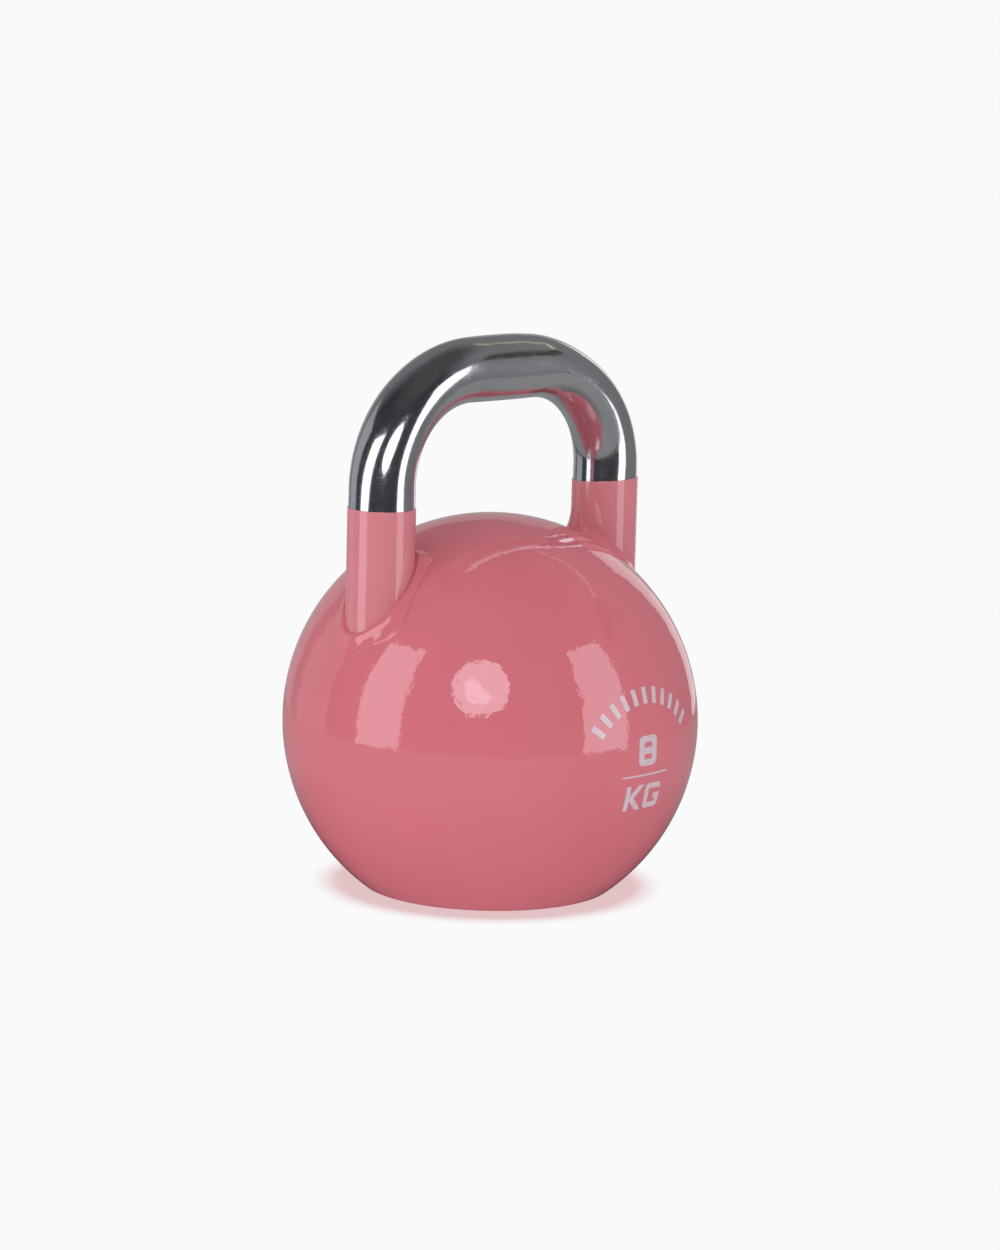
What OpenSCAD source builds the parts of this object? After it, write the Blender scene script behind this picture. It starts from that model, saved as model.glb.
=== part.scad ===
// Competition-pattern kettlebell: a hollow steel ball on a flat base, with a bent-tube handle.
// X runs along the grip, -Y is the printed front, +Z is up. The origin is the centre of the base.

/* [Ball] */
// Outer diameter of the ball
ball_d = 210; // [190:1:230]
// Wall thickness of the two pressed shells
shell_wall = 5; // [3:0.5:8]
// Diameter of the flat that the bell stands on
base_d = 125; // [110:1:140]
// Gap between the shells at the root of the girth weld
girth_root_gap = 1; // [0.5:0.1:2]
// Width of the girth weld at the ball's surface
girth_face_w = 6; // [4:0.5:10]

/* [Handle] */
// Overall height of the bell
overall_h = 280; // [260:1:300]
// Outer diameter of the handle tube
tube_d = 33; // [28:0.5:38]
// Wall thickness of the handle tube
tube_wall = 5; // [3:0.5:8]
// Width over the outside of the two legs
handle_w = 182; // [170:1:190]
// Radius of the two bends, to the middle of the tube
bend_r = 55; // [40:1:60]
// How far each leg weld reaches from the tube and from the ball
leg_weld_size = 7; // [4:0.5:9]
// Hollow of each leg weld's face, from 1 for a flat face to 2 for a round one
leg_weld_hollow = 1.4; // [1:0.05:2]

/* [Enamel on the legs] */
// Height of the masking line on the leg on the -X side, above the floor
left_enamel_top_z = 199; // [190:0.1:206]
// Height of the masking line on the leg on the +X side, above the floor
right_enamel_top_z = 203.6; // [190:0.1:206]
// Thickness of the enamel on the legs
enamel_t = 0.4; // [0.2:0.05:0.8]

/* [Base plate, filling and plug] */
// Diameter of the base plate
plate_d = 114; // [108:1:116]
// Thickness of the base plate
plate_t = 8; // [6:0.5:12]
// Width of the weld around the base plate, at the floor
base_weld_w = 4; // [3:0.5:6]
// Depth of the weld around the base plate
base_weld_depth = 3; // [2:0.5:4]
// Outer diameter of the cast-iron ballast ring, which passes through the base plate's opening
ballast_d = 108; // [90:1:112]
// Bore of the ballast ring, which leaves the filling hole clear
ballast_bore_d = 34; // [24:1:50]
// Height of the ballast ring
ballast_h = 25.5; // [10:0.1:60]
// Diameter of the threaded filling hole
plug_thread_d = 22; // [16:1:30]
// Diameter of the plug's head
plug_head_d = 30; // [26:1:40]
// Thickness of the plug's head
plug_head_t = 2.2; // [2:0.1:3]
// Length of the plug from its head to its end
plug_shank_l = 5; // [4:0.1:5.2]
// Width across the flats of the plug's hexagon socket
plug_socket_af = 10; // [8:1:14]
// Depth of the plug's hexagon socket
plug_socket_depth = 5; // [3:0.5:6]
// Thickness of the sealing washer
seal_t = 0.8; // [0.5:0.1:1.5]
// How far the plug's head sits above the floor
plug_recess = 0.5; // [0.3:0.1:1.5]

/* [Printed marks] */
// Angle of the marks around the ball, from the front
print_angle = 6.3; // [-20:0.1:20]
// Thickness of the ink
ink_t = 0.1; // [0.05:0.01:0.3]
// Height of the figure
numeral_h = 15; // [12:0.5:24]
// Width of the figure
numeral_w = 13; // [10:0.1:18]
// Width of the figure's upright strokes
numeral_stroke = 3.7; // [2:0.1:4.5]
// Thickness of the figure's level strokes
numeral_bar = 3.2; // [2:0.1:3.4]
// Height of the unit mark
unit_h = 12.8; // [8:0.1:18]
// Width of each letter of the unit mark
unit_w = 12; // [11:0.5:16]
// Width of the unit mark's stroke
unit_stroke = 2.8; // [1.5:0.1:3.2]
// Length of the rule under the figure
rule_l = 33; // [20:1:40]
// Thickness of the rule
rule_t = 0.9; // [0.5:0.1:2]
// Number of bars in the arc
bar_count = 11; // [5:2:13]
// Height of each bar
bar_h = 8; // [5:0.5:12]
// Width of each bar
bar_w = 3; // [1.5:0.1:4]
// Radius of the arc that the bars stand on
bar_arc_r = 36.3; // [30:0.1:60]
// Angle between neighbouring bars
bar_pitch = 10.2; // [8:0.1:12]

/* [Hidden] */
$fn = 96;
ball_fn = 288;

enamel_colour = "#cb6f7a";
chrome_colour = "#b9babd";
steel_colour = "#8d8f92";
ink_colour = "#f1e9ea";

ball_r = ball_d / 2;
inner_r = ball_r - shell_wall;
ball_z = sqrt(ball_r * ball_r - base_d * base_d / 4);
tube_r = tube_d / 2;
leg_x = handle_w / 2 - tube_r;
grip_z = overall_h - tube_r;
bend_z = grip_z - bend_r;
bend_x = leg_x - bend_r;
leg_cut_l = 110;
plate_r = plate_d / 2;
overlap = 1;

// Counterbore for the plug's head, with room around it
counterbore_room = 0.5;
counterbore_d = plug_head_d + 2 * counterbore_room;
counterbore_depth = plug_recess + plug_head_t + seal_t;

// Leg welds: sections around the leg, and points on each section's face and along the ball
weld_sections = 72;
weld_face_points = 7;
weld_ball_points = 4;

// Heights of the marks, from the ball's equator, and their places from the middle of the print
numeral_z = 0.6;
numeral_corner = 2.8;
rule_z = -11.6;
unit_z = -22.9;
unit_gap = 1.4;
unit_corner = 2.2;
inner_corner = 0.8;
bar_foot_z = 23.6;
print_reach = ball_r + 10;

module ball_outer() {
    translate([0, 0, ball_z])
        sphere(r = ball_r, $fn = ball_fn);
}

module ball_inner() {
    translate([0, 0, ball_z])
        sphere(r = inner_r, $fn = ball_fn);
}

module hollow_ball() {
    difference() {
        ball_outer();
        ball_inner();
    }
}

// Ring with a tapered section that both shells are bevelled to
module girth_groove() {
    root_r = inner_r - overlap;
    face_r = ball_r + overlap;
    taper = (girth_face_w - girth_root_gap) / 2 / shell_wall;
    root_half = girth_root_gap / 2 - taper * overlap;
    face_half = girth_face_w / 2 + taper * overlap;
    translate([0, 0, ball_z])
        rotate_extrude($fn = ball_fn)
            polygon([
                [root_r, -root_half], [face_r, -face_half],
                [face_r, face_half], [root_r, root_half]
            ]);
}

module upper_shell() {
    color(enamel_colour)
        difference() {
            hollow_ball();
            translate([0, 0, ball_z - ball_r])
                cube([2 * ball_d, 2 * ball_d, 2 * ball_r], center = true);
            girth_groove();
        }
}

module lower_shell() {
    color(enamel_colour)
        difference() {
            hollow_ball();
            translate([0, 0, ball_z + ball_r])
                cube([2 * ball_d, 2 * ball_d, 2 * ball_r], center = true);
            translate([0, 0, -ball_r])
                cube([2 * ball_d, 2 * ball_d, 2 * ball_r], center = true);
            girth_groove();
            base_plate_seat();
        }
}

module girth_weld() {
    color(enamel_colour)
        intersection() {
            hollow_ball();
            girth_groove();
        }
}

// The handle's centre line, as a solid of radius r
module handle_solid(r) {
    translate([-bend_x, 0, grip_z])
        rotate([0, 90, 0])
            cylinder(r = r, h = 2 * bend_x);
    for (side = [-1, 1]) {
        translate([side * leg_x, 0, bend_z])
            rotate([180, 0, 0])
                cylinder(r = r, h = leg_cut_l);
        translate([side * bend_x, 0, bend_z])
            rotate([90, 0, side > 0 ? 0 : 180])
                rotate_extrude(angle = 90)
                    translate([bend_r, 0])
                        circle(r = r);
    }
}

module handle_tube() {
    color(chrome_colour)
        difference() {
            handle_solid(tube_r);
            handle_solid(tube_r - tube_wall);
            ball_outer();
        }
}

// Point beside the leg on the +X side: a distance out from the tube, at angle a around it,
// and a distance above the ball
function beside_leg(a, off_tube, off_ball) =
    let (
        x = leg_x + (tube_r + off_tube) * cos(a),
        y = (tube_r + off_tube) * sin(a),
        from_centre = ball_r + off_ball
    ) [x, y, ball_z + sqrt(from_centre * from_centre - x * x - y * y)];

// Section of the weld at angle a: its hollow face from tube to ball, then back along the ball
function weld_section(a) = concat(
    [for (i = [0 : weld_face_points - 1])
        let (
            t = i / (weld_face_points - 1),
            rise = 1 - pow(1 - pow(1 - t, leg_weld_hollow), 1 / leg_weld_hollow)
        ) beside_leg(a, t * leg_weld_size, rise * leg_weld_size)],
    [for (i = [1 : weld_ball_points])
        beside_leg(a, leg_weld_size * (1 - i / weld_ball_points), 0)]
);

// Fillet weld around the leg on the +X side
module leg_weld() {
    ring = weld_face_points + weld_ball_points;
    sections = [for (i = [0 : weld_sections - 1]) weld_section(i * 360 / weld_sections)];
    points = [for (section = sections) for (p = section) p];
    faces = [
        for (i = [0 : weld_sections - 1]) for (j = [0 : ring - 1])
            let (
                next_i = (i + 1) % weld_sections,
                next_j = (j + 1) % ring
            ) each [
                [i * ring + j, next_i * ring + j, i * ring + next_j],
                [next_i * ring + j, next_i * ring + next_j, i * ring + next_j]
            ]
    ];
    polyhedron(points = points, faces = faces);
}

module left_leg_weld() {
    color(enamel_colour)
        mirror([1, 0, 0])
            leg_weld();
}

module right_leg_weld() {
    color(enamel_colour)
        leg_weld();
}

// Enamel around one leg, from the head of its weld up to the masking line at top_z
module leg_enamel(side, top_z) {
    difference() {
        translate([side * leg_x, 0, top_z])
            rotate([180, 0, 0])
                cylinder(r = tube_r + enamel_t, h = leg_cut_l);
        translate([side * leg_x, 0, top_z + overlap])
            rotate([180, 0, 0])
                cylinder(r = tube_r, h = leg_cut_l + 2 * overlap);
        translate([0, 0, ball_z])
            sphere(r = ball_r + leg_weld_size, $fn = ball_fn);
    }
}

module left_leg_enamel() {
    color(enamel_colour)
        leg_enamel(-1, left_enamel_top_z);
}

module right_leg_enamel() {
    color(enamel_colour)
        leg_enamel(1, right_enamel_top_z);
}

// Ring with a tapered section that the base plate and the lower shell are bevelled to
module base_groove() {
    taper = base_weld_w / 2 / base_weld_depth;
    rotate_extrude()
        polygon([
            [plate_r - base_weld_w / 2 - taper * overlap, -overlap],
            [plate_r + base_weld_w / 2 + taper * overlap, -overlap],
            [plate_r, base_weld_depth]
        ]);
}

// Room that the lower shell leaves for the base plate and its weld
module base_plate_seat() {
    translate([0, 0, -overlap])
        cylinder(r = plate_r, h = plate_t + overlap);
    base_groove();
}

module base_plate() {
    color(enamel_colour)
        difference() {
            cylinder(r = plate_r, h = plate_t);
            base_groove();
            translate([0, 0, -overlap])
                cylinder(d = counterbore_d, h = counterbore_depth + overlap);
            cylinder(d = plug_thread_d, h = plate_t + overlap);
        }
}

module base_weld() {
    color(enamel_colour)
        intersection() {
            base_groove();
            cylinder(r = plate_r + base_weld_w, h = base_weld_depth + overlap);
        }
}

module ballast_ring() {
    color("#6b625c")
        translate([0, 0, plate_t])
            difference() {
                cylinder(d = ballast_d, h = ballast_h);
                translate([0, 0, -overlap])
                    cylinder(d = ballast_bore_d, h = ballast_h + 2 * overlap);
            }
}

module filler_plug() {
    color(steel_colour)
        translate([0, 0, plug_recess])
            difference() {
                union() {
                    cylinder(d = plug_head_d, h = plug_head_t);
                    cylinder(d = plug_thread_d, h = plug_shank_l + plug_head_t);
                }
                translate([0, 0, -overlap])
                    cylinder(d = plug_socket_af / cos(30), h = plug_socket_depth + overlap, $fn = 6);
            }
}

module plug_seal() {
    color("#2c2c2e")
        translate([0, 0, plug_recess + plug_head_t])
            difference() {
                cylinder(d = plug_head_d, h = seal_t);
                translate([0, 0, -overlap])
                    cylinder(d = plug_thread_d, h = seal_t + 2 * overlap);
            }
}

// Lays a flat mark, drawn in X and Y around [0, 0], on the front of the ball as a film of ink
module print_on_ball() {
    color(ink_colour)
        translate([0, 0, ball_z])
            intersection() {
                difference() {
                    sphere(r = ball_r + ink_t, $fn = ball_fn);
                    sphere(r = ball_r, $fn = ball_fn);
                }
                rotate([0, 0, print_angle])
                    rotate([90, 0, 0])
                        linear_extrude(height = print_reach)
                            children();
            }
}

// Rectangle w wide and h high with round corners
module soft_rect(w, h, corner) {
    square([w - 2 * corner, h], center = true);
    square([w, h - 2 * corner], center = true);
    for (x = [-1, 1]) for (y = [-1, 1])
        translate([x * (w / 2 - corner), y * (h / 2 - corner)])
            circle(r = corner);
}

// Outline of a soft rectangle, with upright strokes and level bars of their own widths
module soft_loop(w, h, stroke, bar, corner) {
    difference() {
        soft_rect(w, h, corner);
        soft_rect(w - 2 * stroke, h - 2 * bar, inner_corner);
    }
}

module weight_numeral() {
    loop_h = (numeral_h + numeral_bar) / 2;
    print_on_ball()
        for (side = [-1, 1])
            translate([0, numeral_z + side * (numeral_h - loop_h) / 2])
                soft_loop(numeral_w, loop_h, numeral_stroke, numeral_bar, numeral_corner);
}

module divider_line() {
    print_on_ball()
        translate([0, rule_z])
            square([rule_l, rule_t], center = true);
}

// The arms lean at 45 degrees from the stem to the corners
module letter_k() {
    arm_w = unit_stroke * sqrt(2);
    arm_root_x = (unit_w - unit_h) / 2 - arm_w;
    translate([-unit_w / 2, -unit_h / 2])
        square([unit_stroke, unit_h]);
    for (side = [-1, 1])
        polygon([
            [arm_root_x, 0], [unit_w / 2 - arm_w, side * unit_h / 2],
            [unit_w / 2, side * unit_h / 2], [arm_root_x + arm_w, 0]
        ]);
}

module letter_g() {
    spur_top = unit_h / 16;
    difference() {
        soft_loop(unit_w, unit_h, unit_stroke, unit_stroke, unit_corner);
        translate([0, spur_top])
            square([unit_w, unit_h / 4 - spur_top]);
    }
    translate([unit_w / 10, spur_top - unit_stroke])
        square([unit_w * 0.4, unit_stroke]);
}

module unit_mark() {
    step = (unit_w + unit_gap) / 2;
    print_on_ball()
        translate([0, unit_z]) {
            translate([-step, 0])
                letter_k();
            translate([step, 0])
                letter_g();
        }
}

module arc_marks() {
    middle = (bar_count - 1) / 2;
    print_on_ball()
        translate([0, bar_foot_z - bar_arc_r])
            for (i = [0 : bar_count - 1])
                rotate([0, 0, (i - middle) * bar_pitch])
                    translate([-bar_w / 2, bar_arc_r])
                        square([bar_w, bar_h]);
}

upper_shell();
lower_shell();
girth_weld();
handle_tube();
left_leg_weld();
right_leg_weld();
left_leg_enamel();
right_leg_enamel();
base_plate();
base_weld();
ballast_ring();
filler_plug();
plug_seal();
weight_numeral();
divider_line();
unit_mark();
arc_marks();
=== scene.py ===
"""Looks of the kettlebell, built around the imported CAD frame. Lengths are in metres."""

import math

import bmesh
import bpy
import numpy as np
from mathutils import Matrix, Vector, geometry, noise


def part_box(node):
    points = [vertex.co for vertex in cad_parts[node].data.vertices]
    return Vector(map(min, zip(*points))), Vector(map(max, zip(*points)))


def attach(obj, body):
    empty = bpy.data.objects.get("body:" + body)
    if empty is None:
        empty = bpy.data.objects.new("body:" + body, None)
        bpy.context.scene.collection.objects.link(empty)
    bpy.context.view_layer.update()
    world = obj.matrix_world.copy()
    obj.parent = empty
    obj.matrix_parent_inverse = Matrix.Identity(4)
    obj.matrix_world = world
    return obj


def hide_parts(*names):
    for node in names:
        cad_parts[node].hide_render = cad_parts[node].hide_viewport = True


MM = 0.001
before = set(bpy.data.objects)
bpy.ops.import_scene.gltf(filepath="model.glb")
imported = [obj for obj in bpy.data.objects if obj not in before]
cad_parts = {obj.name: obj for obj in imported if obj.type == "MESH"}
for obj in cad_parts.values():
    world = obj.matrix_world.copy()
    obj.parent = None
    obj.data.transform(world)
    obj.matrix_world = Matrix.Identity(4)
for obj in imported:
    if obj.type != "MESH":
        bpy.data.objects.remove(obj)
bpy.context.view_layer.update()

# ---------------------------------------------------------------------------------------------
# Sizes, from the frame
# ---------------------------------------------------------------------------------------------
girth_low, girth_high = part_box("girth_weld")
BALL_Z = (girth_low.z + girth_high.z) / 2
BALL_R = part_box("upper_shell")[1].z - BALL_Z
handle_low, handle_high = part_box("handle_tube")
TUBE_R = (handle_high.y - handle_low.y) / 2
LEG_X = handle_high.x - TUBE_R
GRIP_Z = handle_high.z - TUBE_R
sleeve_low, sleeve_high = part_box("right_leg_enamel")
ENAMEL_TOP = {-1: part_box("left_leg_enamel")[1].z, 1: sleeve_high.z}
ENAMEL_T = (sleeve_high.x - sleeve_low.x) / 2 - TUBE_R
BASE_WELD_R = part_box("base_weld")[1].x

# Sizes that no box gives, the same as in the CAD
BEND_R = 55 * MM
PRINT_ANGLE = math.radians(6.3)

BEND_Z = GRIP_Z - BEND_R
BEND_X = LEG_X - BEND_R
CENTRE = np.array([0.0, 0.0, BALL_Z])


# ---------------------------------------------------------------------------------------------
# Mesh helpers
# ---------------------------------------------------------------------------------------------
class Patch:
    """Points and faces of one mesh, added ring by ring."""

    def __init__(self):
        self.points = []
        self.faces = []

    def ring(self, points):
        start = len(self.points)
        self.points.extend(map(tuple, points))
        return range(start, len(self.points))

    def bridge(self, first, second):
        """Quads between two closed rings with the same number of points."""
        count = len(first)
        for i in range(count):
            j = (i + 1) % count
            self.faces.append((first[i], first[j], second[j], second[i]))

    def strip(self, rings):
        for first, second in zip(rings, rings[1:]):
            self.bridge(first, second)


def make_piece(name, points, faces, material, sharp_degrees=180):
    """A mesh piece in the root body, smooth shaded but for edges sharper than an angle."""
    mesh = bpy.data.meshes.new(name)
    mesh.from_pydata([tuple(p) for p in points], [], [tuple(f) for f in faces])
    mesh.validate()
    work = bmesh.new()
    work.from_mesh(mesh)
    bmesh.ops.recalc_face_normals(work, faces=work.faces)
    for edge in work.edges:
        if len(edge.link_faces) == 2:
            edge.smooth = edge.calc_face_angle() < math.radians(sharp_degrees)
    for face in work.faces:
        face.smooth = True
    work.to_mesh(mesh)
    work.free()
    piece = bpy.data.objects.new(name, mesh)
    bpy.context.scene.collection.objects.link(piece)
    mesh.materials.append(material)
    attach(piece, "root")
    return piece


def smoothstep(t):
    t = min(max(t, 0.0), 1.0)
    return t * t * (3 - 2 * t)


def around_noise(angle, scale, seed):
    """Smooth noise that joins up around a circle, from -1 to 1."""
    return noise.noise(Vector((math.cos(angle) * scale, math.sin(angle) * scale, seed)))


# ---------------------------------------------------------------------------------------------
# Materials
# ---------------------------------------------------------------------------------------------
def new_material(name):
    material = bpy.data.materials.new(name)
    material.use_nodes = True
    tree = material.node_tree
    tree.nodes.clear()
    output = tree.nodes.new("ShaderNodeOutputMaterial")
    shader = tree.nodes.new("ShaderNodeBsdfPrincipled")
    tree.links.new(shader.outputs["BSDF"], output.inputs["Surface"])
    return material, tree, shader


def add_noise(tree, scale, detail=3.0, roughness=0.5, stretch=None):
    """A noise texture in object space, with its scale per metre."""
    coords = tree.nodes.new("ShaderNodeTexCoord")
    texture = tree.nodes.new("ShaderNodeTexNoise")
    texture.inputs["Scale"].default_value = scale
    texture.inputs["Detail"].default_value = detail
    texture.inputs["Roughness"].default_value = roughness
    source = coords.outputs["Object"]
    if stretch:
        mapping = tree.nodes.new("ShaderNodeMapping")
        mapping.inputs["Scale"].default_value = stretch
        tree.links.new(source, mapping.inputs["Vector"])
        source = mapping.outputs["Vector"]
    tree.links.new(source, texture.inputs["Vector"])
    return texture.outputs["Fac"]


def add_range(tree, source, low, high, to_low, to_high):
    """Maps source from low..high to to_low..to_high, clamped."""
    node = tree.nodes.new("ShaderNodeMapRange")
    node.inputs["From Min"].default_value = low
    node.inputs["From Max"].default_value = high
    node.inputs["To Min"].default_value = to_low
    node.inputs["To Max"].default_value = to_high
    tree.links.new(source, node.inputs["Value"])
    return node.outputs["Result"]


def add_mix(tree, factor, first, second):
    """Colour mix. first and second are colours or sockets."""
    node = tree.nodes.new("ShaderNodeMix")
    node.data_type = "RGBA"
    tree.links.new(factor, node.inputs["Factor"])
    for colour, socket in ((first, node.inputs[6]), (second, node.inputs[7])):
        if isinstance(colour, tuple):
            socket.default_value = colour
        else:
            tree.links.new(colour, socket)
    return node.outputs[2]


def add_bump(tree, height, distance, strength=1.0, normal=None):
    node = tree.nodes.new("ShaderNodeBump")
    node.inputs["Strength"].default_value = strength
    node.inputs["Distance"].default_value = distance
    tree.links.new(height, node.inputs["Height"])
    if normal:
        tree.links.new(normal, node.inputs["Normal"])
    return node.outputs["Normal"]


def enamel_material(name, tone, light_tone, gloss):
    """Gloss baked enamel: even colour, faint orange peel, a clear hard surface."""
    material, tree, shader = new_material(name)
    shader.inputs["Roughness"].default_value = 0.5
    shader.inputs["Specular IOR Level"].default_value = 0.0
    shader.inputs["Coat Weight"].default_value = gloss
    shader.inputs["Coat IOR"].default_value = 1.7
    cloud = add_noise(tree, 18, 2.0)
    colour = add_mix(tree, add_range(tree, cloud, 0.3, 0.7, 0.0, 1.0), tone, light_tone)
    tree.links.new(colour, shader.inputs["Base Color"])
    wear = add_range(tree, add_noise(tree, 55, 5.0, 0.7), 0.5, 0.72, 0.03, 0.10)
    tree.links.new(wear, shader.inputs["Coat Roughness"])
    peel = add_noise(tree, 330, 2.0, 0.45)
    wave = add_noise(tree, 80, 1.0)
    normal = add_bump(tree, wave, 0.16 * MM)
    normal = add_bump(tree, peel, 0.06 * MM, normal=normal)
    tree.links.new(normal, shader.inputs["Normal"])
    tree.links.new(normal, shader.inputs["Coat Normal"])
    return material


def chrome_material():
    """Polished chrome with hand marks and fine polishing lines."""
    material, tree, shader = new_material("chrome")
    shader.inputs["Metallic"].default_value = 1.0
    cloud = add_noise(tree, 26, 4.0, 0.6)
    smudge = add_range(tree, cloud, 0.45, 0.75, 0.0, 1.0)
    colour = add_mix(tree, smudge, (0.68, 0.69, 0.705, 1), (0.57, 0.575, 0.59, 1))
    tree.links.new(colour, shader.inputs["Base Color"])
    grain = add_range(tree, add_noise(tree, 1500, 3.0, 0.7), 0.38, 0.72, 0.05, 0.27)
    tree.links.new(grain, shader.inputs["Roughness"])
    lines = add_noise(tree, 900, 2.0, 0.6, (0.08, 1.0, 1.0))
    wave = add_noise(tree, 60, 1.0)
    normal = add_bump(tree, wave, 0.10 * MM)
    normal = add_bump(tree, lines, 0.012 * MM, normal=normal)
    tree.links.new(normal, shader.inputs["Normal"])
    return material


def ink_material():
    """Satin white ink, thin enough to let a little of the enamel's colour through."""
    material, tree, shader = new_material("ink")
    shader.inputs["Roughness"].default_value = 0.35
    shader.inputs["Coat Weight"].default_value = 0.4
    shader.inputs["Coat Roughness"].default_value = 0.12
    cloud = add_noise(tree, 260, 3.0, 0.6)
    thin = add_range(tree, cloud, 0.35, 0.75, 0.0, 1.0)
    colour = add_mix(tree, thin, (0.64, 0.52, 0.58, 1), (0.62, 0.44, 0.50, 1))
    tree.links.new(colour, shader.inputs["Base Color"])
    normal = add_bump(tree, add_noise(tree, 500, 2.0), 0.02 * MM)
    tree.links.new(normal, shader.inputs["Normal"])
    return material


def plug_material():
    """Bright zinc plating, slightly clouded."""
    material, tree, shader = new_material("plug_steel")
    shader.inputs["Metallic"].default_value = 1.0
    cloud = add_noise(tree, 120, 4.0, 0.65)
    shade = add_range(tree, cloud, 0.3, 0.7, 0.0, 1.0)
    colour = add_mix(tree, shade, (0.56, 0.56, 0.54, 1), (0.66, 0.65, 0.60, 1))
    tree.links.new(colour, shader.inputs["Base Color"])
    tree.links.new(add_range(tree, cloud, 0.3, 0.7, 0.22, 0.38), shader.inputs["Roughness"])
    tree.links.new(add_bump(tree, add_noise(tree, 900, 3.0), 0.01 * MM), shader.inputs["Normal"])
    return material


def dull_material(name, dark, light, roughness, scale, depth):
    """A plain rough surface: two shades, grain and bump."""
    material, tree, shader = new_material(name)
    shader.inputs["Roughness"].default_value = roughness
    cloud = add_noise(tree, scale, 4.0, 0.6)
    colour = add_mix(tree, add_range(tree, cloud, 0.3, 0.7, 0.0, 1.0), dark, light)
    tree.links.new(colour, shader.inputs["Base Color"])
    tree.links.new(add_bump(tree, cloud, depth), shader.inputs["Normal"])
    return material


ENAMEL = enamel_material("enamel", (0.635, 0.160, 0.196, 1), (0.66, 0.172, 0.210, 1), 1.0)
# The legs get a paler, less glossy copy of the ball's enamel.
LEG_ENAMEL = enamel_material("leg_enamel", (0.63, 0.205, 0.236, 1), (0.655, 0.218, 0.25, 1), 0.8)
CHROME = chrome_material()
INK = ink_material()
PLUG_STEEL = plug_material()
SEAL = dull_material("seal", (0.012, 0.012, 0.012, 1), (0.03, 0.03, 0.03, 1), 0.7, 400, 0.02 * MM)
IRON = dull_material("ballast", (0.06, 0.055, 0.05, 1), (0.12, 0.11, 0.10, 1), 0.75, 300, 0.2 * MM)


# ---------------------------------------------------------------------------------------------
# Enamel: the ball, both leg welds and the edge of the base in one mesh, and a sleeve on each leg
# ---------------------------------------------------------------------------------------------
LEG_RING = 168
BASE_RING = 264
SKIRT = [0.04, 0.11, 0.24, 0.44, 0.70, 1.0]
SKIRT_REACH = 13.5 * MM
WELD_STEPS = [
    0, 0.02, 0.04, 0.06, 0.08, 0.10, 0.13, 0.17, 0.23, 0.31, 0.4, 0.5, 0.6, 0.69, 0.77, 0.83,
    0.87, 0.895, 0.915, 0.935, 0.955, 0.975, 1
]
LOOP_GAP = 1.7 * MM

# The hand-laid beads, in millimetres: a base size, then swellings as (height, middle, width), with
# the middle and width in degrees around the leg. The left bead is a low pad, the right one a fillet.
BEADS = {
    -1: {
        "out": (5.2, [(5.5, 68, 20), (4.2, 146, 17)]),
        "up": (0.9, [(2.4, 150, 30), (4.0, -110, 60)]),
        "hollow": (1.1, []),
    },
    1: {
        "out": (6.6, []),
        "up": (5.6, [(9.5, 145, 38)]),
        "hollow": (1.0, [(0.75, 145, 45)]),
    },
}
OUT_UNEVEN = 0.5
UP_UNEVEN = {-1: 0.3, 1: 0.4}
CROWN = {-1: 1.45, 1: 0.4}
CROWN_UNEVEN = 0.6
PAD_HEAD = 0.17
PAD_TOE = 0.15
RIDGE = 0.35
RIDGE_AT = 0.07
RIDGE_WIDTH = 0.05
RIDGE_FOOT = 0.04

# Enamel sleeves: the lip as (out, up) in millimetres, then the rings down the leg as shares
LIP = [(0.0, -0.6), (0.0, -0.12), (0.10, -0.02), (0.24, 0.0), (0.36, -0.06), (0.42, -0.20), (0.42, -0.5)]
LIP_CLEARANCE = 0.02 * MM
SLEEVE_STEPS = [0.12, 0.26, 0.42, 0.58, 0.74, 0.88, 0.965, 1.0]
SLEEVE_SINK = 0.3 * MM
TILT = {-1: 0.15 * MM, 1: 1.05 * MM}
TILT_TOP = {-1: math.radians(-60), 1: math.radians(-50)}


def beside_leg(side, angle, off_tube, off_ball):
    """Point at an angle around a leg, a distance out from its tube and a distance above the ball."""
    reach = TUBE_R + off_tube
    x = LEG_X + reach * math.cos(angle)
    y = reach * math.sin(angle)
    z = BALL_Z + math.sqrt((BALL_R + off_ball) ** 2 - x * x - y * y)
    return np.array([side * x, side * y, z])


def around_leg(side, angle, reach, z):
    return np.array([
        side * (LEG_X + reach * math.cos(angle)), side * reach * math.sin(angle), z
    ])


def swell(angle, centre_degrees, width_degrees):
    """1 at an angle around the leg, falling to 0 away from it."""
    off = (math.degrees(angle) - centre_degrees + 180) % 360 - 180
    return math.exp(-(off / width_degrees) ** 2)


def bead_size(side, angle, measure):
    """One measure of a bead at an angle around the leg: its base size and its swellings."""
    base, swellings = BEADS[side][measure]
    return base + sum(height * swell(angle, centre, width) for height, centre, width in swellings)


def weld_shape(side, angle):
    """Reach out on the ball, reach up the leg and hollow of a hand-laid bead, at an angle."""
    uneven = around_noise(angle, 4.5, 7.7 + side)
    out = bead_size(side, angle, "out") + OUT_UNEVEN * uneven
    up = bead_size(side, angle, "up") + UP_UNEVEN[side] * uneven
    return out * MM, up * MM, bead_size(side, angle, "hollow")


def bead_crown(side, angle, t):
    """How far the bead's face stands out from its plain profile, in millimetres."""
    turn = Vector((3.0 * math.cos(angle), 3.0 * math.sin(angle), 5.0 + side + 1.5 * t))
    height = CROWN[side] + CROWN_UNEVEN * noise.noise(turn)
    if side < 0:
        return height * smoothstep(t / PAD_HEAD) * smoothstep((1 - t) / PAD_TOE)
    ridge = RIDGE * math.exp(-((t - RIDGE_AT) / RIDGE_WIDTH) ** 2) * smoothstep(t / RIDGE_FOOT)
    return height * math.sin(math.pi * t) + ridge


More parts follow.
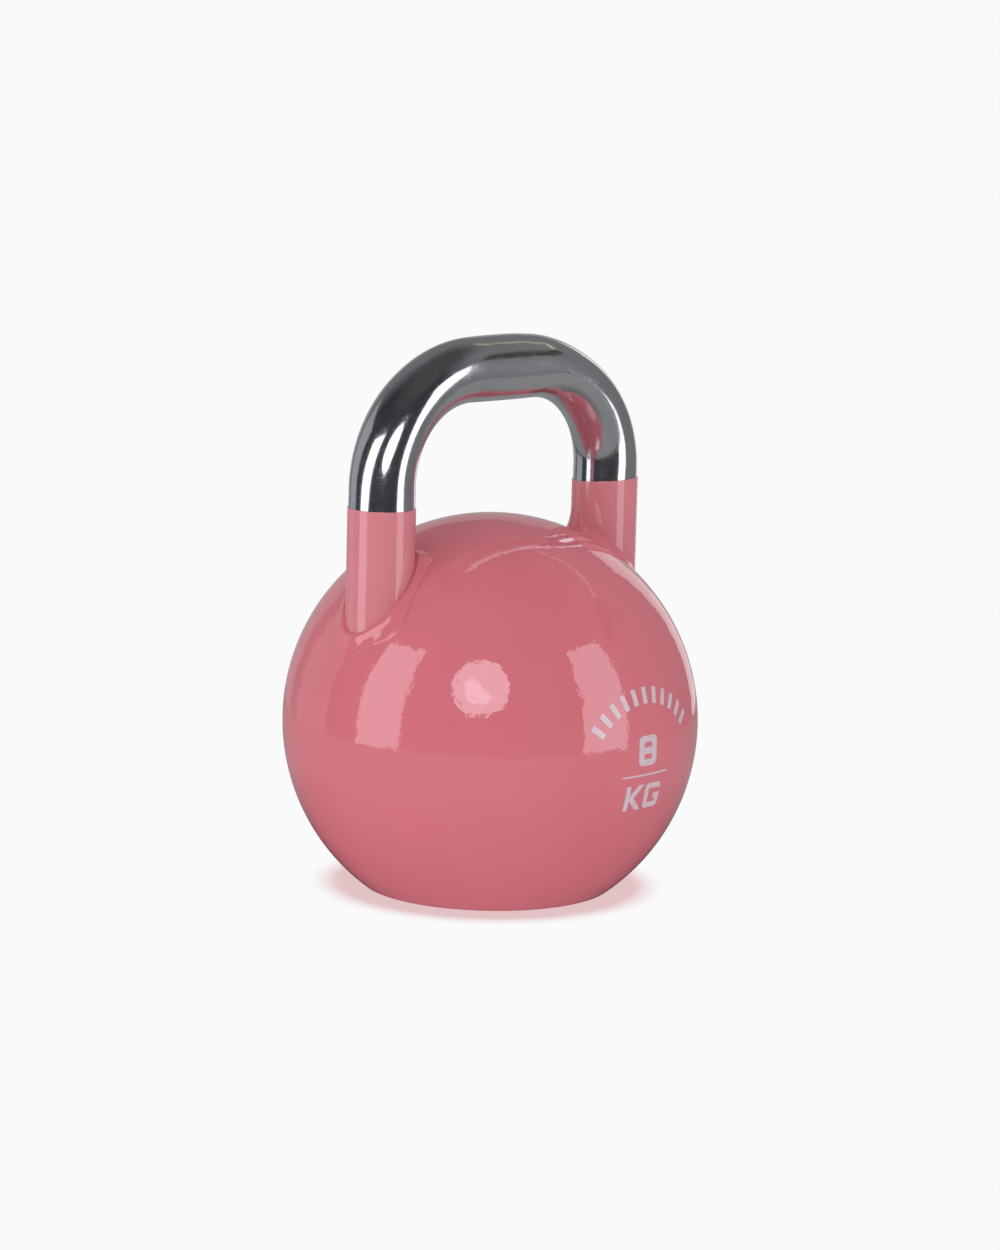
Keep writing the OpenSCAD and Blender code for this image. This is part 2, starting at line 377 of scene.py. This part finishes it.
def weld_face(side, angle, t):
    """Point on the bead's face, from the tube at t = 0 to the ball at t = 1."""
    out, up, power = weld_shape(side, angle)
    rise = 1 - (1 - (1 - t) ** power) ** (1 / power)
    point = beside_leg(side, angle, ENAMEL_T + t * (out - ENAMEL_T), rise * up)
    foot = beside_leg(side, angle, 0, 0)
    outward = (point - foot) / np.linalg.norm(point - foot)
    return point + outward * bead_crown(side, angle, t) * MM


def masking_line(side, angle):
    """Height of the enamel's edge at an angle around the leg: a little tilted and uneven."""
    tilt = TILT[side] * (1 - math.cos(angle - TILT_TOP[side]))
    return ENAMEL_TOP[side] - tilt - 0.06 * MM * (1 + around_noise(angle, 7, side))


def leg_angles():
    return [2 * math.pi * i / LEG_RING for i in range(LEG_RING)]


def leg_sleeve(side, name, node):
    """Enamel on one leg: rounded lip at the masking line, then straight down into the bead."""
    patch = Patch()
    rings = []
    for out, down in LIP:
        reach = TUBE_R + out / LIP[-1][0] * ENAMEL_T + (LIP_CLEARANCE if out == 0 else 0)
        rings.append(patch.ring(
            around_leg(side, a, reach, masking_line(side, a) + down * MM) for a in leg_angles()
        ))
    for share in SLEEVE_STEPS:
        ring = []
        for a in leg_angles():
            top = masking_line(side, a) + LIP[-1][1] * MM
            head = weld_face(side, a, 0)[2] - SLEEVE_SINK
            ring.append(around_leg(side, a, TUBE_R + ENAMEL_T, top + share * (head - top)))
        rings.append(patch.ring(ring))
    patch.strip(rings)
    sleeve = make_piece(name, patch.points, patch.faces, LEG_ENAMEL)
    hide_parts(node)


def leg_rings(patch, side):
    """Rings down one bead's face, then a skirt on the ball."""
    rings = []
    for t in WELD_STEPS:
        rings.append(patch.ring(weld_face(side, a, t) for a in leg_angles()))
    for share in SKIRT:
        ring = []
        for a in leg_angles():
            out = weld_shape(side, a)[0]
            ring.append(beside_leg(side, a, out + share * (SKIRT_REACH - out), 0))
        rings.append(patch.ring(ring))
    patch.strip(rings)
    return rings[-1]


def base_rings(patch):
    """Rings from the flat under the base, around its rounded edge and up onto the ball."""
    edge_r = 3 * MM
    edge_centre = math.sqrt((BALL_R - edge_r) ** 2 - (BALL_Z - edge_r) ** 2)
    tangent = math.atan2(BALL_Z - edge_r, edge_centre)
    profile = [(BASE_WELD_R, 0.0), ((BASE_WELD_R + edge_centre) / 2, 0.0)]
    for i in range(7):
        turn = math.pi / 2 + (tangent - math.pi / 2) * i / 6
        profile.append((edge_centre + edge_r * math.cos(turn), edge_r - edge_r * math.sin(turn)))
    for height in (1.3 * MM, 2.2 * MM, 3.6 * MM):
        profile.append((math.sqrt(BALL_R ** 2 - (BALL_Z - height) ** 2), height))
    rings = [
        patch.ring(
            (r * math.cos(2 * math.pi * i / BASE_RING), r * math.sin(2 * math.pi * i / BASE_RING), z)
            for i in range(BASE_RING)
        )
        for r, z in profile
    ]
    patch.strip(rings)
    return rings[-1]


def ball_points(loops):
    """Even points on the ball, clear of the loops and of what lies inside them."""
    work = bmesh.new()
    bmesh.ops.create_icosphere(work, subdivisions=6, radius=BALL_R)
    points = np.array([v.co for v in work.verts]) + CENTRE
    work.free()
    reach = TUBE_R + SKIRT_REACH
    keep = np.ones(len(points), bool)
    for side in (-1, 1):
        off_axis = np.hypot(points[:, 0] - side * LEG_X, points[:, 1])
        keep &= ~((off_axis < reach) & (points[:, 2] > BALL_Z))
    keep &= points[:, 2] > loops[:, 2].min()
    points = points[keep]
    nearest = np.min(np.linalg.norm(points[:, None, :] - loops[None, :, :], axis=2), axis=1)
    return points[nearest > LOOP_GAP]


def cover_ball(patch, loops):
    """Triangles over the ball between the loops. On a sphere they are its convex hull's."""
    loop_ids = [i for loop in loops for i in loop]
    loop_of = {i: n for n, loop in enumerate(loops) for i in loop}
    free_ids = list(patch.ring(ball_points(np.array([patch.points[i] for i in loop_ids]))))
    work = bmesh.new()
    index = work.verts.layers.int.new("index")
    for i in loop_ids + free_ids:
        work.verts.new(patch.points[i])[index] = i
    bmesh.ops.convex_hull(work, input=work.verts, use_existing_faces=False)
    for face in work.faces:
        corner_ids = [v[index] for v in face.verts]
        owners = {loop_of.get(i, "ball") for i in corner_ids}
        if owners == {"ball"} or len(owners) > 1:
            patch.faces.append(corner_ids)
    work.free()


def enamel_skin():
    patch = Patch()
    loops = [leg_rings(patch, -1), leg_rings(patch, 1), base_rings(patch)]
    cover_ball(patch, loops)
    skin = make_piece("enamel_skin", patch.points, patch.faces, ENAMEL)
    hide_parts("upper_shell", "lower_shell", "girth_weld", "left_leg_weld", "right_leg_weld")


# ---------------------------------------------------------------------------------------------
# Chrome handle: the bent tube, with the ovality that bending leaves
# ---------------------------------------------------------------------------------------------
TUBE_RING = 128
OVAL_IN_PLANE = 14.25 * MM
OVAL_ACROSS = 17.7 * MM
OVAL_FLAT = -1.3 * MM
OVAL_LEAD = 15 * MM
OVAL_RAMP = {-1: 73 * MM, 1: 52 * MM}
TUBE_FOOT = 150 * MM


def half_handle(side):
    """(centre, outward direction, ovality) along half the tube, from one leg to the middle."""
    arc = BEND_R * math.pi / 2
    ramp = OVAL_RAMP[side]
    stations = []

    def ovality(along):
        return smoothstep((along + OVAL_LEAD) / ramp) * smoothstep((arc + OVAL_LEAD - along) / ramp)

    leg_length = BEND_Z - TUBE_FOOT
    for i in range(34):
        along = -leg_length * (1 - i / 34)
        stations.append((Vector((side * LEG_X, 0, BEND_Z + along)), Vector((side, 0, 0)), ovality(along)))
    for i in range(64):
        turn = math.pi / 2 * i / 64
        outward = Vector((side * math.cos(turn), 0, math.sin(turn)))
        centre = Vector((side * BEND_X, 0, BEND_Z)) + BEND_R * outward
        stations.append((centre, outward, ovality(BEND_R * turn)))
    for i in range(17):
        along = BEND_X * i / 16
        centre = Vector((side * (BEND_X - along), 0, GRIP_Z))
        stations.append((centre, Vector((0, 0, 1)), ovality(arc + along)))
    return stations


def chrome_handle():
    patch = Patch()
    left = half_handle(-1)
    right = half_handle(1)
    turns = [2 * math.pi * i / TUBE_RING for i in range(TUBE_RING)]
    rings = []
    for centre, outward, oval in left[:-1] + right[::-1]:
        in_plane = TUBE_R + oval * (OVAL_IN_PLANE - TUBE_R)
        across = TUBE_R + oval * (OVAL_ACROSS - TUBE_R)
        flat = oval * OVAL_FLAT
        rings.append(patch.ring(
            centre + outward * (in_plane * math.cos(t) + flat * math.cos(2 * t))
            + Vector((0, across * math.sin(t), 0))
            for t in turns
        ))
    patch.strip(rings)
    for end in (rings[0], rings[-1]):
        patch.faces.append(list(end))
    handle = make_piece("chrome_handle", patch.points, patch.faces, CHROME, 60)
    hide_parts("handle_tube")


# ---------------------------------------------------------------------------------------------
# Printed marks: films of ink laid on the ball
# ---------------------------------------------------------------------------------------------
INK_T = 0.06 * MM
GRID = 0.8 * MM
INNER_CORNER = 0.8
EDGE_STEP = 0.6


def soft_rect(cx, cy, w, h, corner):
    """Outline of a rectangle with round corners."""
    points = []
    for quarter, (sx, sy) in enumerate(((1, 1), (-1, 1), (-1, -1), (1, -1))):
        for i in range(7):
            turn = math.pi / 2 * (quarter + i / 6)
            points.append((
                cx + sx * (w / 2 - corner) + corner * math.cos(turn),
                cy + sy * (h / 2 - corner) + corner * math.sin(turn)
            ))
    return points


def rect(cx, cy, w, h, turn=0.0):
    corners = ((-w / 2, -h / 2), (w / 2, -h / 2), (w / 2, h / 2), (-w / 2, h / 2))
    c, s = math.cos(turn), math.sin(turn)
    return [(cx + x * c - y * s, cy + x * s + y * c) for x, y in corners]


def inside(outline, x, y):
    result = False
    for (x0, y0), (x1, y1) in zip(outline, outline[1:] + outline[:1]):
        if (y0 > y) != (y1 > y) and x < x0 + (y - y0) * (x1 - x0) / (y1 - y0):
            result = not result
    return result


def lay_on_ball(name, filled, holes=(), added=()):
    """A film of ink: filled outlines, less holes, plus added ones, in mm from the print's middle."""
    outlines = [*filled, *holes, *added]

    def within(group, x, y):
        return any(inside(outline, x, y) for outline in group)

    def covered(x, y):
        return within(added, x, y) or (within(filled, x, y) and not within(holes, x, y))

    points, edges = [], []
    for outline in outlines:
        dense = []
        for (x0, y0), (x1, y1) in zip(outline, outline[1:] + outline[:1]):
            steps = max(1, int(math.hypot(x1 - x0, y1 - y0) / EDGE_STEP))
            dense += [(x0 + (x1 - x0) * i / steps, y0 + (y1 - y0) * i / steps) for i in range(steps)]
        start = len(points)
        points += dense
        edges += [(start + i, start + (i + 1) % len(dense)) for i in range(len(dense))]
    xs, ys = zip(*points)
    step = GRID / MM
    for i in range(int((max(xs) - min(xs)) / step)):
        for j in range(int((max(ys) - min(ys)) / step)):
            x, y = min(xs) + (i + 0.5) * step, min(ys) + (j + 0.5) * step
            if covered(x, y):
                points.append((x, y))
    flat = geometry.delaunay_2d_cdt([Vector(p) for p in points], edges, [], 0, 1e-5)
    verts, faces = flat[0], flat[2]
    kept = [f for f in faces if covered(*(sum(verts[i][k] for i in f) / len(f) for k in (0, 1)))]
    turn = Matrix.Rotation(PRINT_ANGLE, 4, "Z")

    def on_ball(p, radius):
        x, z = p[0] * MM, p[1] * MM
        spot = turn @ Vector((x, -math.sqrt(BALL_R ** 2 - x * x - z * z), z))
        return Vector(CENTRE) + spot * (radius / BALL_R)

    used = sorted({i for f in kept for i in f})
    top_id = {v: n for n, v in enumerate(used)}
    count = len(used)
    body = [on_ball(verts[i], BALL_R + INK_T) for i in used]
    body += [on_ball(verts[i], BALL_R - INK_T) for i in used]
    tops = [[top_id[i] for i in f] for f in kept]
    sides = {}
    for f in tops:
        for a, b in zip(f, f[1:] + f[:1]):
            sides[(a, b)] = sides.get((a, b), 0) + 1
    walls = [(b, a, a + count, b + count) for a, b in sides if (b, a) not in sides]
    bottoms = [[i + count for i in reversed(f)] for f in tops]
    piece = make_piece(name, body, tops + walls + bottoms, INK, 50)
    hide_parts(name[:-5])


def numeral_print():
    width, height, stroke, bar, corner, middle = 13.0, 15.0, 3.7, 3.2, 2.8, 0.6
    loop_h = (height + bar) / 2
    filled, holes = [], []
    for side in (-1, 1):
        cy = middle + side * (height - loop_h) / 2
        filled.append(soft_rect(0, cy, width, loop_h, corner))
        holes.append(soft_rect(0, cy, width - 2 * stroke, loop_h - 2 * bar, INNER_CORNER))
    lay_on_ball("weight_numeral_film", filled, holes)


def rule_print():
    length, thickness, middle = 33.0, 0.9, -11.6
    lay_on_ball("divider_line_film", [rect(0, middle, length, thickness)])


def unit_print():
    width, height, stroke, corner, gap, middle = 12.0, 12.8, 2.8, 2.2, 1.4, -22.9
    step = (width + gap) / 2
    half_w, half_h = width / 2, height / 2
    arm_w = stroke * math.sqrt(2)
    root = half_w - half_h - arm_w
    stem = rect(-step - half_w + stroke / 2, middle, stroke, height)
    arms = []
    for side in (-1, 1):
        arms.append([
            (-step + x, middle + side * y)
            for x, y in ((root, -0.05), (half_w - arm_w, half_h), (half_w, half_h), (root + arm_w, -0.05))
        ])
    loop = soft_rect(step, middle, width, height, corner)
    hollow = soft_rect(step, middle, width - 2 * stroke, height - 2 * stroke, INNER_CORNER)
    spur_top = height / 16
    notch_h = height / 4 - spur_top
    notch = rect(step + half_w, middle + spur_top + notch_h / 2, width, notch_h)
    spur = rect(step + width * 0.3, middle + spur_top - stroke / 2, width * 0.4, stroke)
    lay_on_ball("unit_mark_film", [stem, loop, *arms], [hollow, notch], [spur])


def arc_print():
    count, height, width, foot, radius, pitch = 11, 8.0, 3.0, 23.6, 36.3, math.radians(10.2)
    bars = []
    for i in range(count):
        turn = (i - (count - 1) / 2) * pitch
        middle = radius + height / 2
        x, y = -middle * math.sin(turn), foot - radius + middle * math.cos(turn)
        bars.append(rect(x, y, width, height, turn))
    lay_on_ball("arc_marks_film", bars)


# ---------------------------------------------------------------------------------------------
# Studio: floor, lights, camera
# ---------------------------------------------------------------------------------------------
CAMERA_AZ = -41.607
CAMERA_EL = 11.320


def look_direction(azimuth, elevation):
    """Unit vector at an azimuth from -Y towards +X and an elevation, both in degrees."""
    a, e = math.radians(azimuth), math.radians(elevation)
    return Vector((math.sin(a) * math.cos(e), -math.cos(a) * math.cos(e), math.sin(e)))


def add_camera():
    """Camera aimed at the ball, then turned a little by yaw, pitch and roll."""
    distance = 2.18442
    focal_px, image_h = 4315.8, 1250
    roll, yaw, pitch = (math.radians(v) for v in (-1.442, -0.0996, 1.2551))
    back = look_direction(CAMERA_AZ, CAMERA_EL)
    forward = -back
    right = forward.cross(Vector((0, 0, 1))).normalized()
    up = right.cross(forward)
    rows = np.array([right, up, forward])
    cy, sy, cp, sp = math.cos(yaw), math.sin(yaw), math.cos(pitch), math.sin(pitch)
    cr, sr = math.cos(roll), math.sin(roll)
    turn_y = np.array([[cy, 0, sy], [0, 1, 0], [-sy, 0, cy]])
    turn_x = np.array([[1, 0, 0], [0, cp, -sp], [0, sp, cp]])
    turn_z = np.array([[cr, -sr, 0], [sr, cr, 0], [0, 0, 1]])
    rows = turn_z @ turn_x @ turn_y @ rows
    place = Vector(CENTRE) + back * distance
    data = bpy.data.cameras.new("camera")
    data.lens = focal_px * data.sensor_width / image_h
    data.clip_end = 100
    camera = bpy.data.objects.new("camera", data)
    axes = np.array([rows[0], rows[1], -rows[2]]).T
    camera.matrix_world = Matrix.Translation(place) @ Matrix(axes.tolist()).to_4x4()
    bpy.context.scene.collection.objects.link(camera)
    bpy.context.scene.camera = camera


def light_spot(azimuth, elevation, distance):
    """Where a light must be for the ball to mirror it to the camera from this direction."""
    aim = look_direction(azimuth, elevation)
    normal = (aim + look_direction(CAMERA_AZ, CAMERA_EL)).normalized()
    return Vector(CENTRE) + BALL_R * normal + aim * distance


def glow_material(name):
    """A plain glowing material. Returns the material, its tree and the glow."""
    material = bpy.data.materials.new(name)
    material.use_nodes = True
    tree = material.node_tree
    tree.nodes.clear()
    output = tree.nodes.new("ShaderNodeOutputMaterial")
    glow = tree.nodes.new("ShaderNodeEmission")
    tree.links.new(glow.outputs["Emission"], output.inputs["Surface"])
    return material, tree, glow


def stage_face(name, corners, material):
    """One flat face of the studio, which casts no shadow and gives no light to matt surfaces."""
    mesh = bpy.data.meshes.new(name)
    mesh.from_pydata(corners, [], [list(range(len(corners)))])
    mesh.materials.append(material)
    face = bpy.data.objects.new(name, mesh)
    bpy.context.scene.collection.objects.link(face)
    face.visible_diffuse = False
    face.visible_shadow = False
    return face


def emitter(name, corners, strength, colour=(1, 1, 1, 1)):
    """A light panel that only reflections see. corners are (azimuth, elevation, distance)."""
    material, _, glow = glow_material(name)
    glow.inputs["Color"].default_value = colour
    glow.inputs["Strength"].default_value = strength
    panel = stage_face(name, [light_spot(*corner) for corner in corners], material)
    panel.visible_camera = False


def disc(azimuth, elevation, degrees, distance, count=40):
    """Corners of a round panel, an angle wide from its middle to its edge."""
    middle = look_direction(azimuth, elevation)
    side = middle.cross(Vector((0, 0, 1))).normalized()
    up = side.cross(middle)
    spread = math.tan(math.radians(degrees))
    corners = []
    for i in range(count):
        turn = 2 * math.pi * i / count
        aim = (middle + spread * (side * math.cos(turn) + up * math.sin(turn))).normalized()
        corners.append((math.degrees(math.atan2(aim.x, -aim.y)), math.degrees(math.asin(aim.z)), distance))
    return corners


WHITE = (0.956, 0.956, 0.956, 1)
FLOOR_GAP = 0.1 * MM
FLOOR_HALF = 15.0
SHADOW_REACH = 21 * MM
TABLE_R = 0.64


def add_floor():
    """White floor for the camera, with a soft contact shadow painted into its glow from ambient occlusion,
    and a grey table for reflections whose glow is painted dark around the middle as the ball's shadow.
    """
    material, tree, glow = glow_material("floor")
    # Painted shadow: ambient occlusion near the ball dims the floor's glow from white towards a pinkish
    # shade.
    nearness = tree.nodes.new("ShaderNodeAmbientOcclusion")
    nearness.samples = 24
    nearness.inputs["Distance"].default_value = SHADOW_REACH
    dim = add_range(tree, nearness.outputs["AO"], 0.42, 1.0, 1.0, 0.0)
    power = tree.nodes.new("ShaderNodeMath")
    power.operation = "POWER"
    power.inputs[1].default_value = 2.3
    tree.links.new(dim, power.inputs[0])
    tree.links.new(add_mix(tree, power.outputs[0], WHITE, (0.76, 0.54, 0.56, 1)), glow.inputs["Color"])
    corners = [(x * FLOOR_HALF, y * FLOOR_HALF, -FLOOR_GAP) for x, y in ((-1, -1), (1, -1), (1, 1), (-1, 1))]
    floor = stage_face("floor", corners, material)
    floor.visible_glossy = False

    shade, tree, glow = glow_material("table")
    coords = tree.nodes.new("ShaderNodeTexCoord")
    length = tree.nodes.new("ShaderNodeVectorMath")
    length.operation = "LENGTH"
    tree.links.new(coords.outputs["Object"], length.inputs[0])
    # Painted shadow: the table's glow is near black within 0.09 m of the middle and reaches its open grey by
    # 0.25 m, standing in for the ball's shadow on the table.
    outside_painted_shadow = add_range(tree, length.outputs["Value"], 0.09, 0.25, 0.0, 1.0)
    colour = add_mix(tree, outside_painted_shadow, (0.04, 0.03, 0.033, 1), (0.29, 0.29, 0.297, 1))
    tree.links.new(colour, glow.inputs["Color"])
    turns = [2 * math.pi * i / 96 for i in range(96)]
    rim = [(TABLE_R * math.cos(t), TABLE_R * math.sin(t), -FLOOR_GAP) for t in turns]
    table = stage_face("table", rim, shade)
    table.visible_camera = False


def add_world():
    """White to the camera, soft light stronger from the front, and a dark room in reflections."""
    world = bpy.data.worlds.new("studio")
    bpy.context.scene.world = world
    world.use_nodes = True
    tree = world.node_tree
    tree.nodes.clear()

    def background(colour, strength=1.0):
        node = tree.nodes.new("ShaderNodeBackground")
        if isinstance(colour, tuple):
            node.inputs["Color"].default_value = colour
        else:
            tree.links.new(colour, node.inputs["Color"])
        node.inputs["Strength"].default_value = strength
        return node.outputs[0]

    def toward(azimuth, elevation):
        node = tree.nodes.new("ShaderNodeVectorMath")
        node.operation = "DOT_PRODUCT"
        node.inputs[1].default_value = look_direction(azimuth, elevation)
        tree.links.new(coords.outputs["Generated"], node.inputs[0])
        return node.outputs["Value"]

    def switch(flag, when_not, when):
        node = tree.nodes.new("ShaderNodeMixShader")
        tree.links.new(flag, node.inputs["Fac"])
        tree.links.new(when_not, node.inputs[1])
        tree.links.new(when, node.inputs[2])
        return node.outputs[0]

    output = tree.nodes.new("ShaderNodeOutputWorld")
    paths = tree.nodes.new("ShaderNodeLightPath")
    coords = tree.nodes.new("ShaderNodeTexCoord")
    front = add_range(tree, toward(CAMERA_AZ, 4), -1, 1, 0, 1)
    gradient = add_mix(tree, front, (0.55, 0.55, 0.555, 1), (1.09, 1.09, 1.10, 1))
    left_window = add_range(tree, toward(-118, -6), 0.78, 0.95, 0, 1)
    soft = background(add_mix(tree, left_window, gradient, (1.38, 1.36, 1.38, 1)))
    room_side = add_range(tree, toward(110, 0), -0.05, 0.35, 0, 1)
    room = add_mix(tree, room_side, (0.035, 0.036, 0.042, 1), (0.20, 0.202, 0.21, 1))
    room_top = add_range(tree, toward(0, 90), 0.75, 0.93, 0, 1)
    dark = background(add_mix(tree, room_top, room, (0.07, 0.072, 0.075, 1)))
    shown = background(WHITE)
    seen = switch(paths.outputs["Is Glossy Ray"], soft, dark)
    tree.links.new(switch(paths.outputs["Is Camera Ray"], seen, shown), output.inputs["Surface"])


COOL = (0.98, 1.0, 1.06, 1)


def add_lights():
    """Softboxes on both sides of a round light, dim walls, a dark card and a thin warm strip."""
    emitter("softbox_left", [(-118, 37, 0.7), (-90, 43, 0.7), (-92, -9, 0.7), (-120, -9, 0.7)], 1.95, COOL)
    emitter("round_light", disc(-47.5, 28, 15.5, 0.7), 3.0, COOL)
    emitter("round_light_core", disc(-48.5, 27, 8, 0.68), 4.6, COOL)
    emitter("softbox_right", [(13.5, 42, 0.7), (42, 38, 0.7), (39, -9, 0.7), (11, -9, 0.7)], 1.95, COOL)
    emitter("wall_left", [(-176, -9, 0.9), (-176, 34, 0.9), (-143, 34, 0.9), (-143, -9, 0.9)], 0.40, COOL)
    emitter("backdrop", [(109, -9, 1.4), (109, 25, 1.4), (124, 25, 1.4), (124, -9, 1.4)], 1.0)
    emitter("backdrop_side", [(124, -9, 1.4), (124, 25, 1.4), (172, 15, 1.4), (172, -9, 1.4)], 0.42)
    card = [(77, 46, 1.2), (61, 44.5, 1.2), (48, 38, 1.2), (52, 33, 1.2), (62, 37, 1.2), (75, 41, 1.2)]
    emitter("dark_card", card, 0.05)
    strip_top = [(76, 45.6), (88, 48.0), (98, 48.9), (108, 52.4), (119, 54.3)]
    strip_foot = [(119, 53.3), (108, 51.5), (98, 48.0), (88, 47.1), (76, 44.7)]
    strip = [(azimuth, elevation, 1.0) for azimuth, elevation in strip_top + strip_foot]
    emitter("warm_strip", strip, 1.5, (1.0, 0.84, 0.5, 1))


# ---------------------------------------------------------------------------------------------
# The scene
# ---------------------------------------------------------------------------------------------
add_camera()
enamel_skin()
leg_sleeve(-1, "left_leg_sleeve", "left_leg_enamel")
leg_sleeve(1, "right_leg_sleeve", "right_leg_enamel")
chrome_handle()
numeral_print()
rule_print()
unit_print()
arc_print()
for node, material in (
    ("base_plate", ENAMEL), ("base_weld", ENAMEL), ("filler_plug", PLUG_STEEL),
    ("plug_seal", SEAL), ("ballast_ring", IRON),
):
    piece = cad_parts[node]
    piece.data.materials.clear()
    piece.data.materials.append(material)
add_floor()
add_world()
add_lights()
scene = bpy.context.scene
scene.view_settings.view_transform = "Standard"
scene.view_settings.look = "None"
